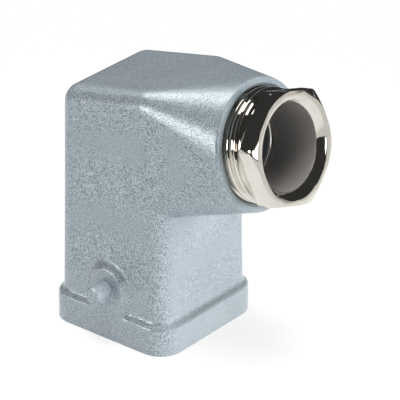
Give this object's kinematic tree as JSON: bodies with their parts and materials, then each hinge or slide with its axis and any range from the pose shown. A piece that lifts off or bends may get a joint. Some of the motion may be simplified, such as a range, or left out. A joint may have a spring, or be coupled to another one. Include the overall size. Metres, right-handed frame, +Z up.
{
  "type": "heavy duty rectangular connector",
  "caption": "Small square die-cast connector hood with locking pegs, an angled cable arm with a hexagon gland screw, and a pin insert inside.",
  "frame": {"origin": "centre of the square rim's mating plane", "axes": "+Z up into the hood, +X towards the cable gland, the locking pegs along Y"},
  "size_m": [0.0459, 0.034, 0.0522],
  "materials": {
    "hood_coat": "silver-grey speckled powder coat on a zinc casting",
    "nickel_plate": "bright nickel plate on turned brass",
    "zinc_plated_steel": "bright zinc-plated steel",
    "seal_rubber": "matt blue-black rubber",
    "insert_plastic": "fine-textured light grey moulding",
    "contact_silver": "silver-plated turned brass",
    "link_brass": "plain stamped brass",
    "ring_rubber": "smooth black rubber"
  },
  "bodies": {
    "hood": {"hood": "hood_coat", "cable_seal": "seal_rubber", "insert_body": "insert_plastic", "power_contact_1": "contact_silver", "power_contact_2": "contact_silver", "power_contact_3": "contact_silver", "earth_contact": "contact_silver", "earth_link": "link_brass", "fixing_screw": "zinc_plated_steel", "fixing_seal_ring": "ring_rubber"},
    "gland_washer": {"thrust_washer": "zinc_plated_steel"},
    "gland_screw": {"gland_screw": "nickel_plate"},
    "wire_plate_1": {"wire_plate_1": "zinc_plated_steel"},
    "terminal_screw_1": {"terminal_screw_1": "zinc_plated_steel"},
    "wire_plate_2": {"wire_plate_2": "zinc_plated_steel"},
    "terminal_screw_2": {"terminal_screw_2": "zinc_plated_steel"},
    "wire_plate_3": {"wire_plate_3": "zinc_plated_steel"},
    "terminal_screw_3": {"terminal_screw_3": "zinc_plated_steel"},
    "earth_wire_plate": {"earth_wire_plate": "zinc_plated_steel"},
    "earth_terminal_screw": {"earth_terminal_screw": "zinc_plated_steel"}
  },
  "joints": [
    {"name": "gland_advance", "type": "slide", "parent": "hood", "child": "gland_washer", "axis": [-0.9781, 0, -0.2079], "range_m": [0, 0.003], "deforming": ["cable_seal"]},
    {"name": "gland_turn", "type": "hinge", "parent": "gland_washer", "child": "gland_screw", "pos_m": [0.02357, 0, 0.04021], "axis": [-0.9781, 0, -0.2079], "range_deg": [0, 720]},
    {"name": "terminal_1_advance", "type": "slide", "parent": "hood", "child": "wire_plate_1", "axis": [0, 1, 0], "range_m": [0, 0.0015]},
    {"name": "terminal_1_turn", "type": "hinge", "parent": "wire_plate_1", "child": "terminal_screw_1", "pos_m": [0, -0.0087, 0.01755], "axis": [0, 1, 0], "range_deg": [0, 1080]},
    {"name": "terminal_2_advance", "type": "slide", "parent": "hood", "child": "wire_plate_2", "axis": [-1, 0, 0], "range_m": [0, 0.0015]},
    {"name": "terminal_2_turn", "type": "hinge", "parent": "wire_plate_2", "child": "terminal_screw_2", "pos_m": [0.0087, 0, 0.01755], "axis": [-1, 0, 0], "range_deg": [0, 1080]},
    {"name": "terminal_3_advance", "type": "slide", "parent": "hood", "child": "wire_plate_3", "axis": [0, -1, 0], "range_m": [0, 0.0015]},
    {"name": "terminal_3_turn", "type": "hinge", "parent": "wire_plate_3", "child": "terminal_screw_3", "pos_m": [0, 0.0087, 0.01755], "axis": [0, -1, 0], "range_deg": [0, 1080]},
    {"name": "earth_terminal_advance", "type": "slide", "parent": "hood", "child": "earth_wire_plate", "axis": [1, 0, 0], "range_m": [0, 0.0015]},
    {"name": "earth_terminal_turn", "type": "hinge", "parent": "earth_wire_plate", "child": "earth_terminal_screw", "pos_m": [-0.0087, 0, 0.01755], "axis": [1, 0, 0], "range_deg": [0, 1080]}
  ],
  "couplings": [
    {"joint": "gland_turn", "follows": "gland_advance", "rad_per_m": 4188.8},
    {"joint": "terminal_1_turn", "follows": "terminal_1_advance", "rad_per_m": 12566},
    {"joint": "terminal_2_turn", "follows": "terminal_2_advance", "rad_per_m": 12566},
    {"joint": "terminal_3_turn", "follows": "terminal_3_advance", "rad_per_m": 12566},
    {"joint": "earth_terminal_turn", "follows": "earth_terminal_advance", "rad_per_m": 12566}
  ]
}
